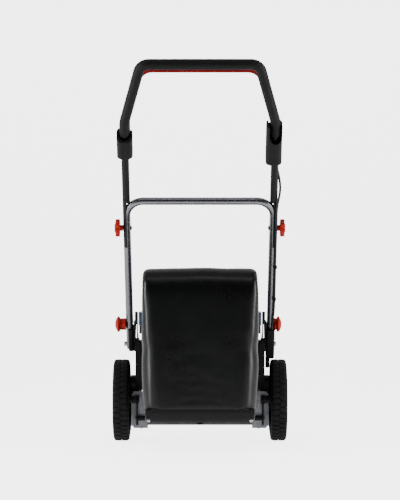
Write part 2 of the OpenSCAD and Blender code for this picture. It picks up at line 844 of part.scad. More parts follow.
// Space that the sleeves leave round the tube, the grip and the bail
module sleeve_space(floor_t) {
    translate([tube_x, 0, floor_t]) cylinder(h = 120, r = pocket_r);
    translate([tube_x, 0, 600]) cylinder(h = 200, r = tube_r);
    xrod(bail_x - 6, tube_x + 14, [bail_n, bail_t], bail_r + fit);
    translate([bail_x - 9, bail_n - 10, bail_t - 7]) cube([16, 24, 80]);
}

sleeve_t = [696, 774];
sleeve_cut = 42.5;      // slope of the top of the left sleeve
housing_t = [675, 801];
notch_t = 747;          // lower end of the opening in the back of the switch housing

module left_sleeve() {
    color([0.06, 0.06, 0.07]) side(-1) on_handle() difference() {
        translate([tube_x, 0, sleeve_t[0]])
            round_box(45, 48, sleeve_t[1] - sleeve_t[0], 15);
        sleeve_space(744);
        translate([tube_x - 40, 0, sleeve_t[1]]) rotate([sleeve_cut, 0, 0])
            translate([0, -60, 0]) cube([80, 60, 60]);
    }
}

housing_x = 209;
button_t = 712;
button_n = 26;          // front face of the switch housing

module switch_housing() {
    color([0.06, 0.06, 0.07]) on_handle() difference() {
        translate([housing_x, 1, housing_t[0]])
            round_box(46, 50, housing_t[1] - housing_t[0], 15);
        sleeve_space(740);
        translate([tube_x - pocket_r + 0.4, -40, notch_t + pocket_r])
            cube([2 * pocket_r - 0.8, 40, 80]);
        translate([tube_x, 0, notch_t + pocket_r]) rotate([90, 0, 0])
            cylinder(h = 40, r = pocket_r - 0.4);
        translate([housing_x, button_n - 8, button_t]) rotate([-90, 0, 0])
            cylinder(h = 9, r = 8.3);
    }
}

module switch_button() {
    color([0.75, 0.13, 0.09]) on_handle() translate([housing_x, button_n - 3, button_t])
        rotate([-90, 0, 0]) cylinder(h = 7, r = 8);
}

bail_half = concat(
    [[tube_x + 12, 0], [bail_x + 9, 0]],
    arc([bail_x + 7, 7], 7, 270, 180, 5),
    arc([bail_x - bail_bend_r, bend_t - bail_t], bail_bend_r, 0, grip_slant, 4),
    arc([bail_corner_x, bail_corner_v], bail_corner, grip_slant, 90, 8));

module bail() {
    color([0.72, 0.14, 0.1]) on_handle() translate([0, bail_n, bail_t])
        rotate([-bail_lean, 0, 0]) swept(loop(bail_half), bail_r, 16, [0, 1, 0]);
}

// ---------- switch cable ----------

cable_r = 3.5;
cable_sides = 8;
// Route of the cable on the handle: across, forward of the tubes, along the handle
cable_route = [[216, 16, 674.5], [217, 15.5, 658], [221, 14, 640], [226.5, 9, 616],
    [230, 3, 594], [230.5, -3, 574], [227.5, -9, 552], [223.5, -12.5, 528],
    [222, -13.5, 500], [222, -14, 470], [222, -14, 440], [222, -13.5, 410],
    [222, -13, 380], [222, -12.5, 340], [222.3, -12, 300], [222.5, -12, 260],
    [222.5, -12, 220], [222.5, -12, 180], [222, -12.5, 140], [219.5, -14, 104],
    [218.5, -14.3, 84], [218.5, -14.3, 66.5]];

module cable() {
    color([0.04, 0.04, 0.04]) on_handle() swept(cable_route, cable_r, cable_sides, [1, 0, 0]);
}

clip_t = [300, 180];
clip_c = [222.4, -12.1];

module cable_clips() {
    color([0.05, 0.05, 0.05]) on_handle() for (t = clip_t) {
        translate([0, 0, t]) difference() {
            translate([clip_c[0], clip_c[1], 0]) cylinder(h = 8, r = cable_r + 2.4);
            translate([tube_x, 0, -1]) cylinder(h = 10, r = tube_r);
            translate([clip_c[0], clip_c[1], -1]) cylinder(h = 10, r = cable_r + 0.4);
        }
    }
}

// ---------- grass catcher ----------

bag_t = 2.4;
mouth_y = -62;
seam_z = 128;
bag_x = bag_w / 2;

// Side outline of the catcher, moved inwards by d
module catcher_side(d) {
    polygon(concat(
        [[mouth_y + (d > 0 ? 2 : 0), tray_z + d]],
        arc([-bag_back + 40, tray_z + 40], 40 - d, 270, 180, 8),
        arc([-bag_back + 64, bag_top - 64], 64 - d, 180, 56, 10),
        [[mouth_y + (d > 0 ? 2 : 0), bag_top - 178 - 1.2 * d]]));
}

// Rear outline of the catcher, moved inwards by d
module catcher_rear(d) {
    polygon(concat(
        [[-bag_x + 14 + d, tray_z + d], [bag_x - 14 - d, tray_z + d],
            [bag_x - 9 - d, seam_z], [bag_x - 3 - d, 190],
            [bag_x - d, 300], [bag_x - 2 - d, 420], [bag_x - 4 - d, 500]],
        arc([bag_x - 21, bag_top - 16], 16 - d, 0, 90, 6),
        arc([-bag_x + 21, bag_top - 16], 16 - d, 90, 180, 6),
        [[-bag_x + 4 + d, 500], [-bag_x + 2 + d, 420], [-bag_x + d, 300],
            [-bag_x + 3 + d, 190], [-bag_x + 9 + d, seam_z]]));
}

module catcher_shape(d) {
    intersection() {
        yz(-bag_x, bag_x) catcher_side(d);
        rotate([90, 0, 0]) linear_extrude(bag_back + 20) catcher_rear(d);
    }
}

module catcher_bag() {
    color([0.08, 0.085, 0.085]) difference() {
        catcher_shape(0);
        catcher_shape(bag_t);
        translate([-200, -500, 0]) cube([400, 500, seam_z]);
    }
}

tray_front = -24;
tray_x = bag_x - 16;

module catcher_tray() {
    color([0.05, 0.05, 0.06]) union() {
        difference() {
            catcher_shape(0);
            catcher_shape(bag_t);
            translate([-200, -500, seam_z]) cube([400, 500, 500]);
        }
        translate([-tray_x, mouth_y - 1, tray_z]) cube([2 * tray_x, tray_front - mouth_y, 3]);
        both() translate([tray_x - 3, mouth_y - 1, tray_z])
            cube([3, tray_front - mouth_y, 22]);
    }
}

wire_r = 3;
frame_x = 149.5;
frame_z = [seam_z - 20, 322];
frame_y = mouth_y - 6;

module catcher_frame() {
    color([0.3, 0.3, 0.32]) difference() {
        union() {
            both() {
                translate([frame_x, frame_y, frame_z[0]])
                    cylinder(h = frame_z[1] - frame_z[0], r = wire_r);
                translate([frame_x, frame_y, frame_z[1]]) sphere(wire_r);
                translate([136, frame_y, 258]) cube([6, 28, frame_z[1] - 258]);
            }
            xrod(-frame_x, frame_x, [frame_y, frame_z[1]], wire_r);
        }
        both() {
            xrod(130, 150, rod_c, rod_r + fit);
            translate([130, rod_c[0] - rod_r - fit, 240])
                cube([20, 2 * (rod_r + fit), rod_c[1] - 240]);
        }
    }
}

module catcher_rivets() {
    color([0.75, 0.75, 0.76]) both() translate([bag_x - 20, -bag_back, tray_z + 12])
        rotate([90, 0, 0]) cylinder(h = 2, r = 4.5);
}

// ---------- output ----------

placed() side_plate(-1);  // side_plate_left
placed() side_plate(1);  // side_plate_right
placed() rear_cross_plate();
placed() axle_brackets();
placed() stub_axles();
placed() deck_plate();
placed() hang_rod();
placed() front_cross_rod();
placed() bedknife_bar();
placed() bedknife();
placed() motor();
placed() drive_covers();
placed() drive_belt();
placed() lower_cover();
placed() top_cover();
placed() battery_hatch();
placed() battery();
placed() handle_quadrants();
placed() chassis_fasteners();
placed() catcher_pegs();
placed() reel_bearings();
placed() reel_shaft();
placed() reel_spiders();
placed() reel_blades();
placed() reel_pulley();
placed() motor_pulley();
placed() height_arm(-1);  // height_arm_left
placed() height_arm(1);  // height_arm_right
placed() height_grip(-1);  // height_grip_left
placed() height_grip(1);  // height_grip_right
placed() tyre(-1);  // tyre_left
placed() tyre(1);  // tyre_right
placed() rim(-1);  // rim_left
placed() rim(1);  // rim_right
placed() hub_cap(-1);  // hub_cap_left
placed() hub_cap(1);  // hub_cap_right
placed() front_wheel(-1);  // front_wheel_left
placed() front_wheel(1);  // front_wheel_right
placed() lower_handle_tube();
placed() handle_foot_left();
placed() cable_cover();
placed() cable_cover_end();
placed() handle_bolts();
placed() latch_knob(-1, 18);  // latch_knob_left
placed() latch_knob(1, 8);  // latch_knob_right
placed() upper_tubes();
placed() grip_tube();
placed() grip_cover();
placed() left_sleeve();
placed() switch_housing();
placed() bail();
placed() switch_button();
placed() star_knob(-1);  // star_knob_left
placed() star_knob(1);  // star_knob_right
placed() cable();
placed() cable_clips();
placed() catcher_bag();
placed() catcher_tray();
placed() catcher_frame();
placed() catcher_rivets();
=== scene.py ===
"""Looks of the battery reel mower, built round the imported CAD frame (metres, +Y forward, +Z up)."""

import json
import math
import random

import bmesh
import bpy
import numpy as np
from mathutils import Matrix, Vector, noise


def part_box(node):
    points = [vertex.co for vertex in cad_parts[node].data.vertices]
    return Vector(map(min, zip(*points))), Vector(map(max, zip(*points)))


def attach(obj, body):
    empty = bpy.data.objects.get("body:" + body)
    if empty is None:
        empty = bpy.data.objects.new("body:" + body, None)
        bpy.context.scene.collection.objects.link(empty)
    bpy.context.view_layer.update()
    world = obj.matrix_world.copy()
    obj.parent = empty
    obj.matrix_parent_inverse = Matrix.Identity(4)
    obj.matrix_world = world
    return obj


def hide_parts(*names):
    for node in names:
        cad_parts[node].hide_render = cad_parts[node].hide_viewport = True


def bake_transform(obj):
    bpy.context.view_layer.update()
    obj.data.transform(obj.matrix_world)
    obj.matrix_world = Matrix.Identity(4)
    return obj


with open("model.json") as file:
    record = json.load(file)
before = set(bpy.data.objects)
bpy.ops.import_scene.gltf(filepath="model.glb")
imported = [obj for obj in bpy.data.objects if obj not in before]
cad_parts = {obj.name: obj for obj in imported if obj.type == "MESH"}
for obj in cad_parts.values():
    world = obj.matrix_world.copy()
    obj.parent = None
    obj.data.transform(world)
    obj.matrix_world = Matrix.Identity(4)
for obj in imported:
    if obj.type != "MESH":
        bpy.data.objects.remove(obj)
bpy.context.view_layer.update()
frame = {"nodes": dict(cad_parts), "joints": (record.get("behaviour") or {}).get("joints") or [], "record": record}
rng = random.Random(7)
joints = {j["name"]: j for j in frame["joints"]}
slot_of = {s["node"]: s["material_slot"] for s in frame["record"]["subparts"]}
body_of = {n: b for b, ns in frame["record"]["behaviour"]["bodies"].items() for n in ns}


def centre(node):
    low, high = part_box(node)
    return (low + high) / 2


def place(joint):
    return Vector(joints[joint]["pos_m"])


def sided(name, side):
    return name + ("_l" if side < 0 else "_r")


def across_range(node):
    """The inner and outer distance of a node from the middle plane."""
    low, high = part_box(node)
    return sorted((abs(low.x), abs(high.x)))


# ---------- frames that the pieces are placed in ----------

PIVOT = place("handle_fold")
UP = (place("upper_handle_fold") - PIVOT).normalized()      # along the handle
SQUARE = Vector((0, UP.z, -UP.y))                           # square to it, forward
AXLE = Vector((0, centre("stub_axles").y, centre("tyre_left").z))
TUBE_R = 0.011
TUBE_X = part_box("upper_tubes")[1].x - TUBE_R


def on_handle(x, n, t):
    """A point in the handle's frame: across, square to the tubes, along them."""
    return Vector((x, PIVOT.y, PIVOT.z)) + SQUARE * n + UP * t


# ---------- camera, light and floor ----------

CAMERA_BACK = 6.0        # behind the rear axles
CAMERA_HEIGHT = 0.585
SEEN_GLOW = 4.0          # how bright the floor and the room look
LIT_GLOW = 0.5           # how much light the floor gives
LENS = 140.7             # on a 36 mm sensor along the picture's long side


def studio():
    """The camera, a dim room, three soft lights and a pale floor that curves up behind."""
    cam = bpy.data.objects.new("camera", bpy.data.cameras.new("camera"))
    cam.data.lens = LENS
    cam.data.sensor_width = 36
    cam.data.clip_end = 100
    cam.location = (0, AXLE.y - CAMERA_BACK, CAMERA_HEIGHT)
    cam.rotation_euler = (math.radians(90), 0, 0)
    bpy.context.collection.objects.link(cam)
    bpy.context.scene.camera = cam

    # The room is dark where the picture is taken from, and gets brighter towards its front.
    world = bpy.data.worlds.new("studio")
    world.use_nodes = True
    bpy.context.scene.world = world
    tree = world.node_tree
    tree.nodes.clear()
    out = tree.nodes.new("ShaderNodeOutputWorld")
    seen = tree.nodes.new("ShaderNodeBackground")
    seen.inputs["Color"].default_value = (0.93, 0.935, 0.94, 1)
    seen.inputs["Strength"].default_value = SEEN_GLOW
    lit = tree.nodes.new("ShaderNodeBackground")
    lit.inputs["Strength"].default_value = 1.0
    coord = tree.nodes.new("ShaderNodeTexCoord")
    split = tree.nodes.new("ShaderNodeSeparateXYZ")
    ramp = tree.nodes.new("ShaderNodeValToRGB")
    stops = ((0.06, (0.02, 0.02, 0.022, 1)), (0.34, (0.08, 0.082, 0.088, 1)),
             (0.62, (0.6, 0.605, 0.62, 1)))
    ramp.color_ramp.elements.new(stops[1][0])
    for item, (position, colour) in zip(ramp.color_ramp.elements, stops):
        item.position = position
        item.color = colour
    half = tree.nodes.new("ShaderNodeMath")
    half.operation = "MULTIPLY_ADD"
    half.inputs[1].default_value = 0.5
    half.inputs[2].default_value = 0.5
    path = tree.nodes.new("ShaderNodeLightPath")
    mix = tree.nodes.new("ShaderNodeMixShader")
    link = tree.links.new
    link(coord.outputs["Generated"], split.inputs[0])
    link(split.outputs["Y"], half.inputs[0])
    link(half.outputs[0], ramp.inputs[0])
    link(ramp.outputs[0], lit.inputs["Color"])
    link(path.outputs["Is Camera Ray"], mix.inputs[0])
    link(lit.outputs[0], mix.inputs[1])
    link(seen.outputs[0], mix.inputs[2])
    link(mix.outputs[0], out.inputs["Surface"])

    def area(name, at, to, size, power):
        light = bpy.data.objects.new(name, bpy.data.lights.new(name, "AREA"))
        light.data.shape = "RECTANGLE"
        light.data.size, light.data.size_y = size
        light.data.energy = power
        light.location = at
        light.rotation_euler = (Vector(to) - Vector(at)).to_track_quat("-Z", "Y").to_euler()
        bpy.context.collection.objects.link(light)

    area("left_box", (-2.4, -1.1, 0.9), (0, 0, 0.5), (0.6, 1.8), 62)
    area("right_box", (2.4, -1.1, 0.9), (0, 0, 0.5), (0.6, 1.8), 54)
    area("top_box", (0, -1.3, 3.0), (0, -0.3, 0.4), (2.4, 0.6), 10)

    me = bpy.data.meshes.new("floor")
    side, front, back, bend, tall = 14, -2.1, 2.6, 1.6, 5.0
    strip = [(front, 0)]
    strip += [(y, z + bend) for y, z in arc(back, 0, bend, -90, 0, 16)]
    strip += [(back + bend, tall)]
    verts = [(x, y, z) for y, z in strip for x in (-side, side)]
    faces = [(2 * k, 2 * k + 1, 2 * k + 3, 2 * k + 2) for k in range(len(strip) - 1)]
    me.from_pydata(verts, [], faces)
    for f in me.polygons:
        f.use_smooth = True
    floor = bpy.data.objects.new("floor", me)
    bpy.context.collection.objects.link(floor)
    me.materials.append(floor_material())


# ---------- materials ----------

class Shader:
    """A material with short calls for its nodes, in the object's own coordinates (metres)."""

    def __init__(self, name):
        self.mat = bpy.data.materials.new(name)
        self.mat.use_nodes = True
        self.tree = self.mat.node_tree
        self.tree.nodes.clear()
        self.out = self.node("ShaderNodeOutputMaterial")
        self.bsdf = self.node("ShaderNodeBsdfPrincipled")
        self.link(self.bsdf.outputs[0], self.out.inputs["Surface"])
        self.coord = self.node("ShaderNodeTexCoord").outputs["Object"]
        self.normal = None

    def node(self, kind, **settings):
        n = self.tree.nodes.new(kind)
        for key, value in settings.items():
            setattr(n, key, value)
        return n

    def link(self, a, b):
        self.tree.links.new(a, b)

    def set(self, **values):
        for key, value in values.items():
            self.bsdf.inputs[key.replace("_", " ")].default_value = value

    def stretched(self, scale):
        m = self.node("ShaderNodeMapping")
        m.inputs["Scale"].default_value = scale
        self.link(self.coord, m.inputs[0])
        return m.outputs[0]

    def noise(self, scale, detail=4, rough=0.55, stretch=None):
        n = self.node("ShaderNodeTexNoise")
        n.inputs["Scale"].default_value = scale
        n.inputs["Detail"].default_value = detail
        n.inputs["Roughness"].default_value = rough
        self.link(self.stretched(stretch) if stretch else self.coord, n.inputs["Vector"])
        return n.outputs["Fac"]

    def cells(self, scale):
        n = self.node("ShaderNodeTexVoronoi")
        n.inputs["Scale"].default_value = scale
        self.link(self.coord, n.inputs["Vector"])
        return n

    def waves(self, scale, direction, distort=0.0):
        n = self.node("ShaderNodeTexWave", bands_direction=direction)
        n.inputs["Scale"].default_value = scale
        n.inputs["Distortion"].default_value = distort
        self.link(self.coord, n.inputs["Vector"])
        return n.outputs["Fac"]

    def ramp(self, value, stops):
        r = self.node("ShaderNodeValToRGB")
        e = r.color_ramp.elements
        while len(e) < len(stops):
            e.new(0.5)
        for item, (pos, colour) in zip(e, stops):
            item.position = pos
            item.color = (*colour, 1) if len(colour) == 3 else colour
        self.link(value, r.inputs[0])
        return r.outputs[0]

    def fit(self, value, low, high, to_low, to_high):
        m = self.node("ShaderNodeMapRange")
        for i, v in zip((1, 2, 3, 4), (low, high, to_low, to_high)):
            m.inputs[i].default_value = v
        self.link(value, m.inputs[0])
        return m.outputs[0]

    def math(self, op, a, b):
        m = self.node("ShaderNodeMath", operation=op)
        for socket, value in zip(m.inputs, (a, b)):
            if isinstance(value, (int, float)):
                socket.default_value = value
            else:
                self.link(value, socket)
        return m.outputs[0]

    def mix(self, fac, a, b):
        m = self.node("ShaderNodeMix", data_type="RGBA")
        for socket, value in ((m.inputs[0], fac), (m.inputs[6], a), (m.inputs[7], b)):
            if isinstance(value, (int, float)):
                socket.default_value = value
            elif isinstance(value, tuple):
                socket.default_value = (*value, 1)
            else:
                self.link(value, socket)
        return m.outputs[2]

    def bump(self, height, strength, distance):
        b = self.node("ShaderNodeBump")
        b.inputs["Strength"].default_value = strength
        b.inputs["Distance"].default_value = distance
        self.link(height, b.inputs["Height"])
        if self.normal:
            self.link(self.normal, b.inputs["Normal"])
        self.normal = b.outputs[0]

    def soft_edges(self, radius):
        b = self.node("ShaderNodeBevel", samples=4)
        b.inputs["Radius"].default_value = radius
        self.normal = b.outputs[0]

    def edge_mask(self, radius, sharp=0.25):
        """1 along edges, 0 on flats: the paint's worn edges, and the plastics' painted edge highlight."""
        b = self.node("ShaderNodeBevel", samples=4)
        b.inputs["Radius"].default_value = radius
        g = self.node("ShaderNodeNewGeometry")
        d = self.node("ShaderNodeVectorMath", operation="DOT_PRODUCT")
        self.link(b.outputs[0], d.inputs[0])
        self.link(g.outputs["Normal"], d.inputs[1])
        return self.fit(d.outputs["Value"], 1.0, 1.0 - sharp, 0.0, 1.0)

    def done(self, colour=None, rough=None):
        if colour is not None:
            self.link(colour, self.bsdf.inputs["Base Color"])
        if rough is not None:
            self.link(rough, self.bsdf.inputs["Roughness"])
        if self.normal:
            self.link(self.normal, self.bsdf.inputs["Normal"])
        return self.mat


def tint(colour, k):
    return tuple(min(1.0, c * k) for c in colour)


def floor_material():
    s = Shader("pale_floor")
    tone = s.ramp(s.noise(1.5), [(0.3, (0.9, 0.9, 0.905)), (0.7, (0.93, 0.93, 0.935))])
    s.set(Roughness=0.9, Specular_IOR_Level=0.1, Emission_Color=(1, 1, 1, 1))
    seen = s.node("ShaderNodeLightPath").outputs["Is Camera Ray"]
    s.link(s.fit(seen, 0, 1, LIT_GLOW, SEEN_GLOW), s.bsdf.inputs["Emission Strength"])
    s.bump(s.noise(400), 0.05, 0.0005)
    # The wall behind the part can't be seen from outside, so it never hides the part's front.
    mix = s.node("ShaderNodeMixShader")
    s.link(s.node("ShaderNodeNewGeometry").outputs["Backfacing"], mix.inputs[0])
    s.link(s.bsdf.outputs[0], mix.inputs[1])
    s.link(s.node("ShaderNodeBsdfTransparent").outputs[0], mix.inputs[2])
    s.link(mix.outputs[0], s.out.inputs["Surface"])
    return s.done(tone)


def powder_coat(name, colour, rough=0.38, wear=(0.3, 0.3, 0.31), worn=0.35):
    """Painted steel: orange-peel skin, dust in the tone, bright scuffs on the edges."""
    s = Shader(name)
    s.soft_edges(0.0008)
    tone = s.mix(s.noise(26), tint(colour, 0.8), tint(colour, 1.25))
    scuff = s.math("MULTIPLY", s.edge_mask(0.0014), s.ramp(s.noise(160, 6, 0.7),
                   [(0.52, (0, 0, 0)), (0.68, (1, 1, 1))]))
    tone = s.mix(s.math("MULTIPLY", scuff, worn), tone, wear)
    s.set(Specular_IOR_Level=0.22)
    s.bump(s.noise(900, 2), 0.18, 0.0003)
    return s.done(tone, s.fit(s.noise(60), 0.3, 0.7, rough - 0.06, rough + 0.1))


def galvanised(name, colour=(0.6, 0.61, 0.65), rough=0.42):
    """Zinc-plated sheet: crystal spangle, fine drawing lines, grey handling marks."""
    s = Shader(name)
    s.soft_edges(0.0006)
    spangle = s.cells(130)
    tone = s.mix(s.fit(spangle.outputs["Distance"], 0.0, 0.8, 0, 1), tint(colour, 0.88), tint(colour, 1.1))
    tone = s.mix(s.fit(s.noise(18, 6), 0.45, 0.75, 0, 0.5), tone, tint(colour, 0.6))
    s.set(Metallic=0.85)
    s.bump(s.noise(40, 8, 0.7, (3, 90, 90)), 0.12, 0.0003)
    return s.done(tone, s.fit(s.noise(90, 6), 0.3, 0.7, rough - 0.08, rough + 0.12))


def tube_enamel(name, colour):
    """Silver-grey lacquer with metal flake, and a faint rub along the tubes."""
    s = Shader(name)
    flake = s.cells(2600)
    tone = s.mix(s.fit(flake.outputs["Distance"], 0, 0.6, 0, 1), tint(colour, 0.9), tint(colour, 1.12))
    tone = s.mix(s.fit(s.noise(30, 6), 0.5, 0.8, 0, 0.35), tone, tint(colour, 0.62))
    s.set(Metallic=0.95)
    s.bump(s.noise(500, 3), 0.03, 0.0001)
    return s.done(tone, s.fit(s.noise(70), 0.3, 0.7, 0.22, 0.32))


def bright_steel(name, colour=(0.62, 0.63, 0.65), rough=0.28, along=(8, 160, 160)):
    """Machined or ground steel: long fine scratches and a stain or two."""
    s = Shader(name)
    s.soft_edges(0.0005)
    lines = s.noise(60, 8, 0.75, along)
    tone = s.mix(s.fit(lines, 0.3, 0.7, 0, 1), tint(colour, 0.78), tint(colour, 1.12))
    tone = s.mix(s.fit(s.noise(35, 5), 0.58, 0.8, 0, 0.6), tone, (0.2, 0.17, 0.14))
    s.set(Metallic=1.0)
    s.bump(lines, 0.15, 0.0002)
    return s.done(tone, s.fit(lines, 0.3, 0.7, rough - 0.08, rough + 0.14))


def moulded(name, colour, rough=0.5, pebble=1400, depth=0.22, coat=0.0, dust=(0.16, 0.15, 0.14)):
    """Moulded plastic: spark-eroded grain, soft tone changes, and a painted highlight along every edge."""
    s = Shader(name)
    s.soft_edges(0.0009)
    tone = s.mix(s.noise(14, 5), tint(colour, 0.82), tint(colour, 1.18))
    # Painted highlight: every edge is painted lighter through the edge mask.
    tone = s.mix(s.math("MULTIPLY", s.edge_mask(0.0016), 0.35), tone, tint(colour, 1.9))
    tone = s.mix(s.fit(s.noise(55, 7, 0.7), 0.62, 0.85, 0, 0.35), tone, dust)
    s.set(Specular_IOR_Level=0.2, Coat_Weight=coat, Coat_Roughness=0.12)
    s.bump(s.cells(pebble).outputs["Distance"], depth, 0.00025)
    s.bump(s.noise(20, 3), 0.05, 0.002)
    return s.done(tone, s.fit(s.noise(48, 6), 0.3, 0.7, rough - 0.07, rough + 0.1))


def tyre_rubber(name):
    """Black rubber with a bloom of dust in the grooves and fine mould texture."""
    s = Shader(name)
    tone = s.mix(s.noise(40, 6, 0.65), (0.004, 0.0042, 0.0046), (0.009, 0.0093, 0.0102))
    tone = s.mix(s.fit(s.noise(120, 8, 0.75), 0.55, 0.8, 0, 0.5), tone, (0.026, 0.0255, 0.0245))
    s.set(Specular_IOR_Level=0.2)
    s.bump(s.noise(1500, 3), 0.3, 0.0003)
    s.bump(s.noise(120, 6), 0.12, 0.0006)
    return s.done(tone, s.fit(s.noise(90, 5), 0.3, 0.7, 0.58, 0.82))


def foam_grip(name):
    """Soft closed-cell grip: fine pores, a faint sheen where hands rub it."""
    s = Shader(name)
    tone = s.mix(s.noise(20, 5), (0.0045, 0.0045, 0.005), (0.008, 0.008, 0.0088))
    pores = s.cells(1700)
    tone = s.mix(s.fit(pores.outputs["Distance"], 0.0, 0.25, 0.7, 0), tone, (0.006, 0.006, 0.007))
    s.set(Specular_IOR_Level=0.2)
    s.bump(pores.outputs["Distance"], 0.35, 0.0004)
    s.bump(s.noise(60, 4), 0.1, 0.001)
    return s.done(tone, s.fit(s.noise(30, 4), 0.3, 0.7, 0.5, 0.66))


def bag_fabric(name):
    """Coated polyester: a fine plain weave under a half-gloss skin with painted shade in its hollows, rubbed at
    its folds.
    """
    s = Shader(name)
    pitch = 820
    weave = s.math("MULTIPLY", s.math("ADD", s.waves(pitch, "X"), s.waves(pitch, "Y")),
                   s.waves(pitch, "Z"))
    tone = s.mix(s.noise(7, 5), (0.0022, 0.0023, 0.0025), (0.0036, 0.0038, 0.0041))
    tone = s.mix(s.fit(s.noise(12, 4), 0.5, 0.8, 0, 0.4), tone, (0.0075, 0.0076, 0.008))
    # Painted shade: the weave's low places, its hollows, are painted darker.
    tone = s.mix(s.fit(weave, 0.2, 1.2, 0.15, 0), tone, (0.0016, 0.0016, 0.0016))
    s.set(Specular_IOR_Level=0.34)
    s.bump(weave, 0.05, 0.0002)
    s.bump(s.noise(9, 3, 0.5), 0.15, 0.004)
    return s.done(tone, s.fit(s.noise(10, 3), 0.3, 0.7, 0.26, 0.32))


def cable_jacket(name):
    s = Shader(name)
    tone = s.mix(s.noise(90, 4), (0.005, 0.005, 0.0055), (0.011, 0.011, 0.0118))
    s.bump(s.noise(700, 3), 0.12, 0.0002)
    return s.done(tone, s.fit(s.noise(140), 0.3, 0.7, 0.42, 0.58))


def make_materials():
    black = (0.005, 0.0052, 0.0058)
    return {
        "black_steel": powder_coat("black_steel", black, 0.36),
        "galvanised": galvanised("galvanised", (0.36, 0.37, 0.40)),
        "grey_tube": tube_enamel("grey_tube", (0.24, 0.245, 0.268)),
        "zinc_bolts": bright_steel("zinc_bolts", (0.72, 0.72, 0.74), 0.3, (90, 90, 90)),
        "dark_steel": powder_coat("dark_steel", (0.03, 0.03, 0.033), 0.34, worn=0.5),
        "blade_steel": bright_steel("blade_steel", (0.5, 0.5, 0.51), 0.26),
        "motor_case": galvanised("motor_case", (0.34, 0.34, 0.35), 0.38),
        "black_plastic": moulded("black_plastic", (0.0055, 0.0056, 0.0063), 0.44, dust=(0.05, 0.048, 0.046)),
        "wheel_plastic": moulded("wheel_plastic", (0.0065, 0.0065, 0.0074), 0.42, dust=(0.05, 0.048, 0.046)),
        "blue_plastic": moulded("blue_plastic", (0.001, 0.030, 0.062), 0.28, 900, 0.08, coat=0.2,
                                dust=(0.02, 0.05, 0.07)),
        "battery_case": moulded("battery_case", (0.03, 0.03, 0.033), 0.5),
        "tyre_rubber": tyre_rubber("tyre_rubber"),
        "belt_rubber": cable_jacket("belt_rubber"),
        "soft_grip": foam_grip("soft_grip"),
        "red_plastic": moulded("red_plastic", (0.40, 0.012, 0.005), 0.36, 1500, 0.1, coat=0.05,
                               dust=(0.3, 0.05, 0.03)),
        "red_wire": powder_coat("red_wire", (0.26, 0.008, 0.006), 0.34, (0.4, 0.2, 0.18), 0.2),
        "bag_fabric": bag_fabric("bag_fabric"),
    }


# ---------- mesh helpers ----------

def piece(name, verts, faces, body, slot, nodes=(), smooth=True):
    """A mesh object with a slot's material, riding on a body and replacing CAD nodes."""
    me = bpy.data.meshes.new(name)
    me.from_pydata([tuple(v) for v in verts], [], faces)
    me.update()
    return finish_piece(bpy.data.objects.new(name, me), body, slot, nodes, smooth)


def finish_piece(obj, body, slot, nodes=(), smooth=True, split=math.radians(40)):
    if obj.name not in bpy.context.collection.objects:
        bpy.context.collection.objects.link(obj)
    bm = bmesh.new()
    bm.from_mesh(obj.data)
    bmesh.ops.recalc_face_normals(bm, faces=bm.faces)
    for f in bm.faces:
        f.smooth = smooth
    for e in bm.edges:
        e.smooth = not (len(e.link_faces) == 2 and e.calc_face_angle(0) > split)
    bm.to_mesh(obj.data)
    bm.free()
    obj.data.materials.clear()
    obj.data.materials.append(MATERIALS[slot])
    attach(obj, body)
    if nodes:
        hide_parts(*nodes)
    return obj


def sweep_rings(path, radius, sides, flat=None):
    """Rings round a path; radius is a number or a function of the share along the path."""
    points = [Vector(p) for p in path]
    n = len(points)
    verts = []
    side = None
    for i, p in enumerate(points):
        ahead = (points[min(i + 1, n - 1)] - points[max(i - 1, 0)]).normalized()
        if side is None:
            side = ahead.orthogonal() if flat is None else Vector(flat)
        side = (side - ahead * side.dot(ahead)).normalized()
        up = ahead.cross(side)
        r = radius(i / (n - 1)) if callable(radius) else radius
        verts += [p + (side * math.cos(a) + up * math.sin(a)) * r
                  for a in (2 * math.pi * k / sides for k in range(sides))]
    return verts


def ring_faces(rings, sides, closed=False, caps=True):
    faces = []
    for i in range(rings if closed else rings - 1):
        a, b = i * sides, ((i + 1) % rings) * sides
        faces += [(a + k, a + (k + 1) % sides, b + (k + 1) % sides, b + k) for k in range(sides)]
    if caps and not closed:
        faces += [tuple(range(sides)), tuple((rings - 1) * sides + k for k in range(sides))]
    return faces


def sweep(name, path, radius, body, slot, nodes=(), sides=24, flat=None):
    return piece(name, sweep_rings(path, radius, sides, flat), ring_faces(len(path), sides),
                 body, slot, nodes)


def lathe(name, at, profile, body, slot, nodes=(), segments=96, turn=1, wobble=None):
    """Turns [(radius, x)] about the X line through `at`; turn is -1 on the left side."""
    verts = []
    for r, x in profile:
        for k in range(segments):
            a = 2 * math.pi * k / segments
            rr = r * (wobble(a, r, x) if wobble else 1)
            verts.append((turn * x, at.y + rr * math.cos(a), at.z + rr * math.sin(a)))
    faces = ring_faces(len(profile), segments, caps=profile[0][0] > 1e-4)
    return piece(name, verts, faces, body, slot, nodes)


def arc(cx, cy, r, a0, a1, n):
    """Points on an arc, angles in degrees."""
    return [(cx + r * math.cos(math.radians(a0 + (a1 - a0) * i / n)),
             cy + r * math.sin(math.radians(a0 + (a1 - a0) * i / n))) for i in range(n + 1)]


def smooth_path(points, steps=8):
    """A Catmull-Rom curve through the points."""
    p = [Vector(q) for q in points]
    p = [2 * p[0] - p[1]] + p + [2 * p[-1] - p[-2]]
    out = []
    for i in range(1, len(p) - 2):
        a, b, c, d = p[i - 1], p[i], p[i + 1], p[i + 2]
        for k in range(steps):
            t = k / steps
            out.append(0.5 * ((2 * b) + (c - a) * t + (2 * a - 5 * b + 4 * c - d) * t * t
                              + (3 * b - a - 3 * c + d) * t ** 3))
    return out + [p[-2]]


def applied(obj):
    """Applies an object's modifiers to its mesh."""
    bpy.context.view_layer.update()
    done = bpy.data.meshes.new_from_object(obj.evaluated_get(bpy.context.evaluated_depsgraph_get()))
    obj.modifiers.clear()
    obj.data = done
    return obj


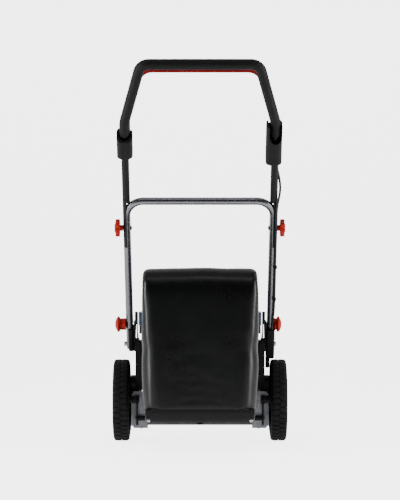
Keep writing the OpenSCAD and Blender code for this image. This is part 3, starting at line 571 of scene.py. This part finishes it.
def softened(name, node, voxel, rounds, groove=None):
    """A copy of a CAD node with its edges rounded off, as it comes from a mould."""
    src = frame["nodes"][node]
    obj = bpy.data.objects.new(name, src.data.copy())
    bpy.context.collection.objects.link(obj)
    m = obj.modifiers.new("remesh", "REMESH")
    m.mode = "VOXEL"
    m.voxel_size = voxel
    s = obj.modifiers.new("soften", "SMOOTH")
    s.factor = 0.5
    s.iterations = rounds
    applied(obj)
    if groove:
        normals = [v.normal.copy() for v in obj.data.vertices]
        for v, nrm in zip(obj.data.vertices, normals):
            v.co -= nrm * groove(v.co, nrm)
    return finish_piece(obj, body_of[node], slot_of[node], [node], split=math.radians(70))


# ---------- handle ----------

GRIP_SLANT = 14.4        # degrees that the loop's arms lean in
GRIP_BEND_R = 0.080
GRIP_BEND_T = 0.795      # where the arms start to bend, along the handle


def mirrored(half):
    """A path from one side to the other, from the half that it starts with, as (x, height)."""
    return half + [(-x, t) for x, t in reversed(half)]


def grip():
    """The foam on the loop: up each arm, round the bend, in to the corner and across."""
    slant, bend_r, bend_t = GRIP_SLANT, GRIP_BEND_R, GRIP_BEND_T
    corner_r, top_t = 0.030, 0.997
    start_t = 0.766
    s, c = math.sin(math.radians(slant)), math.cos(math.radians(slant))
    end = (TUBE_X - bend_r + bend_r * c, bend_t + bend_r * s)
    corner_t = top_t - corner_r
    run = (corner_t + corner_r * s - end[1]) / c
    corner_x = end[0] - run * s - corner_r * c
    half = [(TUBE_X, start_t + (bend_t - start_t) * i / 6) for i in range(6)]
    half += arc(TUBE_X - bend_r, bend_t, bend_r, 0, slant, 8)
    half += [(end[0] - run * s * i / 12, end[1] + run * c * i / 12) for i in range(1, 12)]
    half += arc(corner_x, corner_t, corner_r, slant, 90, 20)
    half += [(corner_x * (1 - i / 10), top_t) for i in range(1, 10)]
    path = [on_handle(x, 0, t) for x, t in mirrored(half)]

    foam_r, swell, ripple, ripples = 0.0147, 0.0004, 0.00012, 340

    def radius(u):
        return foam_r + swell * math.cos(2 * math.pi * (u - 0.5)) + ripple * math.sin(u * ripples)

    sweep("grip_foam", path, radius, "handle_upper", "soft_grip", ["grip_cover"], 40, (0, 1, 0))


def bail():
    """The operator's wire: out of both sleeves, then along the inside of the grip's loop."""
    t0, n0, x0, r = 0.745, 0.020, 0.202, 0.005
    length, corner, lean, slant = 0.210, 0.040, math.radians(4), GRIP_SLANT
    bend_r = GRIP_BEND_R - TUBE_X + x0
    c, tan = math.cos(math.radians(slant)), math.tan(math.radians(slant))
    sin = math.sin(math.radians(slant))
    bend = (x0 - bend_r + bend_r * c, GRIP_BEND_T - t0 + bend_r * sin)
    top = length - corner
    corner_x = bend[0] - corner * c - tan * (top + corner * sin - bend[1])
    half = [(TUBE_X + 0.012, 0), (x0 + 0.009, 0)]
    half += arc(x0 + 0.007, 0.007, 0.007, 270, 180, 6)
    half += [(x0, v) for v in (0.02, 0.035)]
    half += arc(x0 - bend_r, GRIP_BEND_T - t0, bend_r, 0, slant, 6)
    end = (corner_x + corner * c, top + corner * sin)
    half += [(bend[0] + (end[0] - bend[0]) * k / 6, bend[1] + (end[1] - bend[1]) * k / 6)
             for k in range(1, 6)]
    half += arc(corner_x, top, corner, slant, 90, 16)
    half += [(corner_x * (1 - k / 8), length) for k in range(1, 8)]
    path = [on_handle(x, n0 + v * math.sin(lean), t0 + v * math.cos(lean)) for x, v in mirrored(half)]
    sweep("bail_wire", path, r, "bail", "red_wire", ["bail"], 20, (0, 1, 0))


# The cable's way down from the switch housing, in the handle's frame, millimetres.
CABLE_ROUTE = [(216, 16, 674.5), (217, 15.5, 658), (221, 14, 640), (226.5, 9, 616),
               (230, 3, 594), (230.5, -3, 574), (227.5, -9, 552), (223.5, -12.5, 528),
               (222, -13.5, 500), (222, -14, 470), (222, -14, 440), (222, -13.5, 410),
               (222, -13, 380), (222, -12.5, 340), (222.3, -12, 300), (222.5, -12, 260),
               (222.5, -12, 220), (222.5, -12, 180), (222, -12.5, 140), (219.5, -14, 104),
               (218.5, -14.3, 84), (218.5, -14.3, 66.5)]

CABLE_R = 0.0035
CABLE_SIDES = 16


def cable():
    """The switch's cable down the handle, past where the upper part folds, as one fixed mesh."""
    path = smooth_path([on_handle(x / 1000, n / 1000, t / 1000) for x, n, t in CABLE_ROUTE], 6)
    verts = sweep_rings(path, CABLE_R, CABLE_SIDES, (1, 0, 0))
    me = bpy.data.meshes.new("switch_cable")
    me.from_pydata(verts, [], ring_faces(len(path), CABLE_SIDES))
    obj = bpy.data.objects.new("switch_cable", me)
    bpy.context.collection.objects.link(obj)
    for f in me.polygons:
        f.use_smooth = True
    me.materials.append(MATERIALS["belt_rubber"])
    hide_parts("cable")
    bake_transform(obj)


def sleeves():
    """Both sleeves with soft edges, and the seam between their moulded halves."""
    voxel, rounds = 0.0012, 8

    def seam(x0):
        def depth(co, nrm):
            return 0.0006 if abs(co.x - x0) < 0.0007 and abs(nrm.x) < 0.6 else 0.0
        return depth

    softened("sleeve_left_shell", "left_sleeve", voxel, rounds, seam(-0.2125))
    shell = softened("switch_housing_shell", "switch_housing", voxel, rounds, seam(0.2045))
    # Softening closes the button's pocket a little, so its wall and floor are pushed back.
    button, wall, floor, inner = centre("switch_button"), 0.0087, 0.0174, 0.0068
    for v in shell.data.vertices:
        n = (v.co - PIVOT).dot(SQUARE)
        across = v.co - button
        across -= SQUARE * across.dot(SQUARE)
        if n > floor and across.length < wall:
            if across.length > inner:
                v.co += across.normalized() * (wall - across.length)
            else:
                v.co -= SQUARE * (n - floor)


def slot_shade_sheets():
    """Thin dark sheets between the end of the grip and the slot that the bail comes out of: painted shade that
    fills the slot's recess.
    """
    steps, start, height, ripple = 14, 0.7405, 0.0124, 0.0004
    section = ((0.1938, 0), (0.2056, 0.0006), (0.2060, 0.0012), (0.1938, 0.0010))
    for side, node, top in ((-1, "left_sleeve", 0.762), (1, "switch_housing", 0.794)):
        verts = []
        for k in range(steps + 1):
            t = start + (top - start) * k / steps
            n = height + ripple * math.sin(9 * k / steps)
            for x, d in section:
                verts.append(on_handle(side * x, n + d, t))
        # Painted shade: a thin dark sheet in the slot stands in for the shade in its recess.
        piece(sided("slot_shade_sheet", side), verts, ring_faces(steps + 1, len(section)), body_of[node],
              "belt_rubber")


def fold_springs():
    """Torsion springs on the pivot bolts, inside the side plates, each with a leg standing up."""
    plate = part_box("deck_plate")[1].x       # the deck fits between the side plates
    turns, radius, wire, per_turn = 3, 0.0088, 0.0011, 24
    inset, length = 0.0098, 0.0080
    for side in (-1, 1):
        points = []
        for k in range(per_turn * turns + 1):
            a = math.pi / 2 + 2 * math.pi * k / per_turn
            x = plate - inset + length * k / (per_turn * turns)
            points.append(Vector((side * x, PIVOT.y - radius * math.sin(a),
                                  PIVOT.z + radius * math.cos(a))))
        end = points[-1]
        points += [end + Vector((side * 0.0008 * k, -0.0008 * k, 0.0052 * k)) for k in range(1, 8)]
        sweep(sided("fold_spring", side), points, wire, "chassis", "dark_steel", sides=10)


def star_knobs():
    """Six-lobed knobs on a round neck, dished on the outside."""
    for side, node in ((-1, "star_knob_left"), (1, "star_knob_right")):
        low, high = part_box(node)
        inner, outer = across_range(node)
        at = centre(node)
        radius = (high.z - low.z) / 2

        def lobes(a, r, x):
            share = max(0.0, (r / radius - 0.5) / 0.5)
            return 1 - 0.155 * share * (0.5 + 0.5 * math.cos(6 * (a + math.pi))) ** 1.6

        hub = inner + 0.0088
        profile = [(0.0042, inner), (0.0088, inner), (0.009, hub)]
        profile += [(radius * k, hub + d) for k, d in
                    ((0.55, 0.0), (0.85, 0.0002), (0.95, 0.0012), (0.99, 0.0032), (1.0, 0.006),
                     (0.995, 0.0095), (0.96, 0.0125), (0.88, 0.0138), (0.70, 0.0138),
                     (0.55, 0.0136), (0.50, 0.0142))]
        profile += [(0.0122, outer - 0.0006), (0.0112, outer), (0.006, outer), (0.0052, outer - 0.001),
                    (0.0003, outer - 0.001)]
        lathe(sided("star_knob", side), at, profile, body_of[node], "red_plastic",
              [node], 144, side, lobes)


def latch_knobs():
    """Pull knobs: a flange by the tube, a neck and a domed head."""
    face = TUBE_X + TUBE_R + 0.0003
    for side, node in ((-1, "latch_knob_left"), (1, "latch_knob_right")):
        outer = across_range(node)[1]
        neck = outer - 0.015
        profile = [(0.004, face - 0.02), (0.004, face), (0.0168, face), (0.0180, face + 0.0005),
                   (0.0188, face + 0.0018), (0.0188, face + 0.0030), (0.0180, face + 0.0038),
                   (0.0176, neck - 0.0022), (0.0180, neck - 0.0008), (0.0200, neck),
                   (0.0222, neck + 0.0008)]
        profile += arc(0.0205, neck + 0.0045, 0.0035, -52, 50, 9)
        profile += arc(0, neck - 0.0219, 0.0369, 54, 89.6, 14)
        lathe(sided("pull_knob", side), centre(node), profile, body_of[node],
              "red_plastic", [node], 96, side)


# ---------- wheels ----------

RIBS = 44                # cross ribs in each row of a rear tyre
TREAD_R = 0.125          # the radius that the tyre's section is drawn for


def tyre(side, node):
    """A tyre with two staggered rows of cross ribs that wrap on to its shoulders."""
    low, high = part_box(node)
    mid = abs((low.x + high.x) / 2)
    half_w = (high.x - low.x) / 2
    out_r = (high.z - low.z) / 2
    at = centre(node)
    steps = RIBS * 14
    groove_depth, middle_depth, shoulder, ramp = 0.0030, 0.0022, 0.1165, 0.004
    section = [(0.100, -half_w + 0.003), (0.1035, -half_w + 0.0004), (0.107, -half_w),
               (0.1125, -half_w + 0.0003), (0.1175, -half_w + 0.0012), (0.1215, -half_w + 0.0028),
               (0.1238, -half_w + 0.0058), (0.1245, -half_w + 0.010), (0.12475, -half_w + 0.0165),
               (0.1249, -0.0026), (0.125, -0.0012)]
    section += [(r, -x) for r, x in reversed(section)]
    verts = []
    for k in range(steps):
        turn = k / steps * RIBS
        for r, x in section:
            row = 0.0 if x < 0 else 0.5
            phase = (turn + row) % 1.0
            groove = 1.0 if 0.12 < phase < 0.34 else 0.0
            edge = min(1.0, max(0.0, (r - shoulder) / ramp))
            depth = groove_depth * groove * edge
            if abs(x) < 0.002:
                depth = middle_depth
            rr = (r - depth) * out_r / TREAD_R
            a = 2 * math.pi * k / steps
            verts.append((side * (mid + x), at.y + rr * math.cos(a), at.z + rr * math.sin(a)))
    n = len(section)
    faces = []
    for k in range(steps):
        a, b = k * n, ((k + 1) % steps) * n
        faces += [(a + i, a + (i + 1) % n, b + (i + 1) % n, b + i) for i in range(n)]
    piece(sided("tyre", side) + "_tread", verts, faces, body_of[node], "tyre_rubber", [node])


def hub_caps():
    """Round caps with a groove near the rim and a raised middle."""
    for side, node in ((-1, "hub_cap_left"), (1, "hub_cap_right")):
        inner, outer = across_range(node)
        profile = [(0.034, inner), (0.0338, inner + 0.0035), (0.0325, inner + 0.0055),
                   (0.030, inner + 0.0068), (0.0285, inner + 0.0071), (0.0275, inner + 0.0064),
                   (0.0265, inner + 0.0071), (0.020, outer - 0.0004), (0.012, outer - 0.0001),
                   (0.0105, outer - 0.0009), (0.009, outer), (0.0003, outer)]
        lathe(sided("hub_cap", side) + "_disc", centre(node), profile,
              body_of[node], "wheel_plastic", [node], 96, side)


def front_wheels():
    """Solid front wheels with a ribbed tread and a dished face."""
    for side, node in ((-1, "front_wheel_left"), (1, "front_wheel_right")):
        low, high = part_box(node)
        mid = abs((low.x + high.x) / 2)
        w = (high.x - low.x) / 2
        r = (high.z - low.z) / 2
        bore_r, rib_depth, ribbed_from, middle = 0.0062, 0.022, 0.058, 0.0025
        section = [(bore_r, -w), (0.0125, -w), (0.014, -w + 0.0015), (0.0145, -0.0055),
                   (0.020, -0.0050), (0.041, -0.0065), (0.0435, -w + 0.004), (0.0455, -w + 0.0005),
                   (0.0555, -w), (r - 0.0018, -w + 0.0018), (r - 0.0003, -w + 0.005),
                   (r, -w + 0.008), (r, -0.002)]
        section += [(a, -b) for a, b in reversed(section)]

        def ribs(a, q, x):
            groove = math.sin(30 * a) > 0.55 and q > ribbed_from and abs(x - mid) > middle
            return 1 - (rib_depth if groove else 0)

        lathe(sided("front_tread", side), centre(node), [(a, mid + b) for a, b in section],
              body_of[node], "wheel_plastic", [node], 180, side, ribs)


# ---------- grass catcher ----------

BAG_HEM = 0.0045         # the cloth's hem hangs this far over the tray
BAG_VOXEL = 0.0065
BAG_SKIN = 0.0016
CLOTH_REACH = 0.0035     # the furthest that the cloth run may move the bag
CLOTH_FRAMES = 20
STITCHES = 96


def bag_width(z):
    """Half the bag's width at a height, as a share of its widest."""
    stops = [(0.0, 0.950), (0.125, 0.972), (0.30, 0.996), (0.46, 1.0), (0.72, 0.988),
             (0.93, 0.972), (1.0, 0.965)]
    for (a, wa), (b, wb) in zip(stops, stops[1:]):
        if z <= b:
            return wa + (wb - wa) * max(0.0, z - a) / (b - a)
    return stops[-1][1]


def bag_form(low, high):
    """A closed pillow: its side outline swept across, rounded into flat side panels."""
    back, mouth, tall = low.y, high.y, high.z - low.z
    top_r, slope = 0.064, math.radians(56)
    mouth_drop = 0.178                  # from the bag's top to the top of its mouth
    side_r, top_side_r = 0.050, 0.016   # rounding between the back and the side panels
    spare = 0.0042                      # what the remesh and the smoothing take off each side
    c = (back + top_r, high.z - top_r)
    outline = [(mouth, low.z)]
    outline += [(back, low.z + (c[1] - low.z) * k / 14) for k in range(15)]
    outline += [(c[0] + top_r * math.cos(a), c[1] + top_r * math.sin(a))
                for a in (math.pi - (math.pi - slope) * k / 12 for k in range(1, 13))]
    outline += [(mouth, high.z - mouth_drop)]
    mid = Vector(((mouth + back) / 2, (low.z + c[1]) / 2))
    bm = bmesh.new()
    for y, z in outline:
        share = (z - low.z) / tall
        soft = side_r - (side_r - top_side_r) * max(0.0, min(1.0, (share - 0.70) / 0.24))
        half = high.x * bag_width(share) + spare
        inward = (mid - Vector((y, z))).normalized()
        if z < c[1]:
            inward = Vector((math.copysign(1, inward.x), 0))
        for k in range(7):
            a = math.pi / 2 * k / 6
            p = Vector((y, z)) + inward * soft * (1 - math.cos(a))
            for side in (-1, 1):
                bm.verts.new((side * (half - soft + soft * math.sin(a)), p.x, p.y))
    found = bmesh.ops.convex_hull(bm, input=bm.verts)
    inside = set(found["geom_interior"]) | set(found["geom_unused"])
    loose = [v for v in bm.verts if v in inside]
    bmesh.ops.delete(bm, geom=loose, context="VERTS")
    me = bpy.data.meshes.new("bag_form")
    bm.to_mesh(me)
    bm.free()
    return me


def catcher_bag():
    """The cloth shell, open at its mouth and at its hem, filled and creased."""
    node = "catcher_bag"
    low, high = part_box(node)
    low = Vector((low.x, low.y, low.z - BAG_HEM))
    obj = bpy.data.objects.new("catcher_bag_cloth", bag_form(low, high))
    bpy.context.collection.objects.link(obj)
    m = obj.modifiers.new("remesh", "REMESH")
    m.mode = "VOXEL"
    m.voxel_size = BAG_VOXEL
    s = obj.modifiers.new("soften", "SMOOTH")
    s.iterations = 2
    applied(obj)
    bm = bmesh.new()
    bm.from_mesh(obj.data)
    rim = 0.004
    open_faces = [f for f in bm.faces if f.calc_center_median().y > high.y - rim
                  or f.calc_center_median().z < low.z + rim]
    bmesh.ops.delete(bm, geom=open_faces, context="FACES")
    bm.to_mesh(obj.data)
    bm.free()
    start = np.array([v.co for v in obj.data.vertices])
    inflate(obj, low, high)
    moved = np.array([v.co for v in obj.data.vertices])
    step = moved - start
    size = np.linalg.norm(step, axis=1, keepdims=True)
    free = (np.clip((start[:, 2:3] - low.z) / 0.16, 0.0, 1.0)
            * np.clip((high.z - start[:, 2:3]) / 0.05, 0.15, 1.0))
    moved = start + step * free * np.minimum(1.0, CLOTH_REACH / np.maximum(size, 1e-9))
    for v, co in zip(obj.data.vertices, moved):
        v.co = co
    wrinkle(obj, low, high)
    skin = obj.modifiers.new("skin", "SOLIDIFY")
    skin.thickness = BAG_SKIN
    skin.offset = -1
    sub = obj.modifiers.new("sub", "SUBSURF")
    sub.levels = sub.render_levels = 1
    applied(obj)
    return finish_piece(obj, body_of[node], "bag_fabric", [node], split=math.radians(80))


def inflate(obj, low, high):
    """Lets the cloth fill and slacken between its hem and its mouth."""
    pins = obj.vertex_groups.new(name="pins")
    hem = 0.012
    for v in obj.data.vertices:
        if v.co.y > high.y - hem or v.co.z < low.z + hem:
            pins.add([v.index], 1.0, "REPLACE")
    cloth = obj.modifiers.new("cloth", "CLOTH")
    cfg = cloth.settings
    cfg.quality = 6
    cfg.mass = 0.25
    cfg.tension_stiffness = 18
    cfg.compression_stiffness = 14
    cfg.shear_stiffness = 8
    cfg.bending_stiffness = 0.9
    cfg.use_pressure = True
    cfg.uniform_pressure_force = 2.2
    cfg.vertex_group_mass = "pins"
    cfg.effector_weights.gravity = 0.2
    cloth.collision_settings.use_collision = False
    scene = bpy.context.scene
    for f in range(1, CLOTH_FRAMES + 1):
        scene.frame_set(f)
    applied(obj)
    scene.frame_set(1)


def wrinkle(obj, low, high):
    """Soft folds down the edges, a pinch at each side, a raised crown and a puckered hem."""
    crown_rise, crown_drop, pinch_depth, pinch_at = 0.006, 0.0045, 0.0030, 0.44
    fold_depth, sway_depth, pucker_depth = 0.0020, 0.0022, 0.0007
    normals = [v.normal.copy() for v in obj.data.vertices]
    for v, nrm in zip(obj.data.vertices, normals):
        up = (v.co.z - low.z) / (high.z - low.z)
        edge = min(1.0, abs(v.co.x) / high.x)
        hang = noise.noise(Vector((v.co.x * 16, v.co.y * 10, v.co.z * 3.2)))
        sway = noise.noise(Vector((v.co.x * 4, v.co.y * 3 + 5, v.co.z * 11)))
        pucker = noise.noise(Vector((v.co.x * 70, v.co.y * 70, v.co.z * 9)))
        hem = max(0.0, 1 - abs(v.co.z - low.z) / 0.05)
        held = min(1.0, (v.co.z - low.z) / 0.02)
        v.co.z += max(0.0, (up - 0.9) / 0.1) * (crown_rise - crown_drop * edge ** 2)
        pinch = math.exp(-((up - pinch_at) / 0.07) ** 2) * edge ** 6
        v.co += nrm * held * (fold_depth * hang * (0.3 + 0.7 * edge) * (0.5 + up)
                              + sway_depth * sway * edge ** 4 - pinch_depth * pinch
                              + pucker_depth * pucker * (0.3 + hem))


def bag_binding():
    """Webbing round the mouth, and the row of stitches that closes the hem over the tray."""
    low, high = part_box("catcher_bag")
    half = high.x * bag_width(0.2) - 0.001
    top = high.z - 0.181
    corner, webbing_r, sides = 0.030, 0.0026, 12
    loop = [(-half + 0.003, low.z + 0.004), (-half + 0.001, low.z + 0.09)]
    loop += arc(-half + corner, top - corner, corner, 180, 90, 8)
    path = smooth_path([Vector((x, high.y - 0.001, z)) for x, z in mirrored(loop)], 4)
    rings = sweep_rings(path, webbing_r, sides, (0, 1, 0))
    piece("bag_mouth_binding", rings, ring_faces(len(path), sides), body_of["catcher_bag"],
          "bag_fabric")
    verts, faces = [], []
    proud, stray, tilt = 0.0008, 0.0001, 0.00012
    z = low.z + 0.0035
    reach = high.x * bag_width(0.0) - 0.052
    for k in range(STITCHES):
        x = -reach + 2 * reach * (k + 0.5) / STITCHES
        span = reach / STITCHES * 0.62
        y = low.y - proud + rng.uniform(-stray, stray)
        rise = rng.uniform(-tilt, tilt)
        base = len(verts)
        for u, r in ((-1, 0.00015), (-0.6, 0.0004), (0, 0.0005), (0.6, 0.0004), (1, 0.00015)):
            verts += [Vector((x + u * span, y + 0.0004 * abs(u) + r * math.cos(a),
                              z + rise * u + r * math.sin(a)))
                      for a in (2 * math.pi * m / 6 for m in range(6))]
        faces += [tuple(base + i for i in f) for f in ring_faces(5, 6)]
    piece("bag_hem_stitches", verts, faces, body_of["catcher_bag"], "belt_rubber")


def tray_tab():
    """The moulded finger tab under the middle of the tray's back edge."""
    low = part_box("catcher_tray")[0]
    verts = []
    rings, sides, half_wide, tall = 8, 28, 0.0095, 0.0034
    for i in range(rings):
        a = math.pi / 2 * i / rings
        w, h = half_wide * math.cos(a), tall * math.sin(a)
        verts += [Vector((w * math.cos(q) * (1 + 0.15 * abs(math.cos(q))),
                          low.y + 0.034 + 1.1 * w * math.sin(q), low.z + 0.001 - h))
                  for q in (2 * math.pi * k / sides for k in range(sides))]
    piece("tray_tab", verts, ring_faces(rings, sides), body_of["catcher_tray"], "black_plastic")


def catcher_tray():
    """The moulded bottom: softened, with the groove that the bag's hem sits over."""
    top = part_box("catcher_tray")[1].z
    line_drop, line_half, rib_low, rib_high, rib_pitch = 0.006, 0.0014, 0.034, 0.012, 0.03

    def depth(co, nrm):
        line = abs(co.z - (top - line_drop)) < line_half
        ribs = (abs(nrm.z) < 0.5 and top - rib_low < co.z < top - rib_high
                and math.cos(co.x * 2 * math.pi / rib_pitch) > 0.93)
        return 0.0009 if line else (0.0006 if ribs else 0.0)

    softened("catcher_tray_shell", "catcher_tray", 0.0022, 3, depth)


def rivets():
    """Low rivet heads on the back of the tray, near its ends."""
    low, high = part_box("catcher_rivets")
    head_r, sides = 0.0045, 24
    rings = [(head_r, 0.0018), (head_r, 0.0010), (0.0040, 0.0004), (0.0028, 0.0001), (0.0003, 0.0)]
    for side in (-1, 1):
        at = Vector((side * (high.x - head_r), low.y, (low.z + high.z) / 2))
        verts = []
        for r, d in rings:
            verts += [(at.x + r * math.cos(a), at.y + d, at.z + r * math.sin(a))
                      for a in (2 * math.pi * k / sides for k in range(sides))]
        piece(sided("rivet", side), verts, ring_faces(len(rings), sides), "catcher", "zinc_bolts",
              ["catcher_rivets"])


def main():
    """Gives every CAD node its material, then adds the finer pieces."""
    for node, obj in frame["nodes"].items():
        obj.data.materials.clear()
        obj.data.materials.append(MATERIALS[slot_of[node]])
    grip()
    bail()
    cable()
    sleeves()
    star_knobs()
    latch_knobs()
    tyre(-1, "tyre_left")
    tyre(1, "tyre_right")
    hub_caps()
    front_wheels()
    slot_shade_sheets()
    fold_springs()
    catcher_bag()
    bag_binding()
    catcher_tray()
    tray_tab()
    rivets()


studio()
MATERIALS = make_materials()
main()
